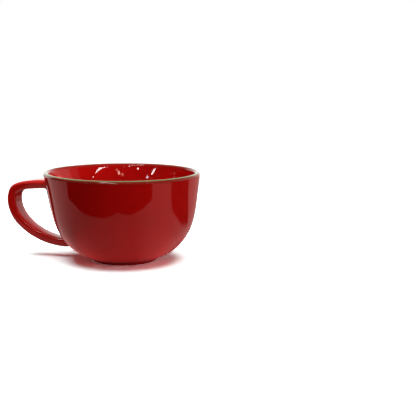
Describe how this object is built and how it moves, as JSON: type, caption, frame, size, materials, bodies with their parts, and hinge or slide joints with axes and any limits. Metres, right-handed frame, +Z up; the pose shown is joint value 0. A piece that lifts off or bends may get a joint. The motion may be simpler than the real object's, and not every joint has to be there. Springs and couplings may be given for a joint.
{
  "type": "stoneware mug",
  "caption": "Wide stoneware mug: a thrown bowl on a low foot ring, with a pulled ear-shaped strap handle, a glossy red glaze and a green glaze band on its lip",
  "frame": {"origin": "on the bowl's axis, in the plane of the table that the foot ring stands on", "axes": "+Z up along the bowl's axis to the lip, -X from the axis towards the handle, Y across the handle's strap"},
  "size_m": [0.1559, 0.12, 0.07],
  "materials": {
    "clay": "matte",
    "slip": "matte",
    "red_glaze": "gloss",
    "green_glaze": "gloss"
  },
  "bodies": {
    "root": {"bowl": "clay", "outer_glaze": "red_glaze", "liner_glaze": "red_glaze", "rim_glaze": "green_glaze", "handle": "clay", "handle_glaze": "red_glaze", "upper_slip_joint": "slip", "lower_slip_joint": "slip"}
  },
  "joints": []
}
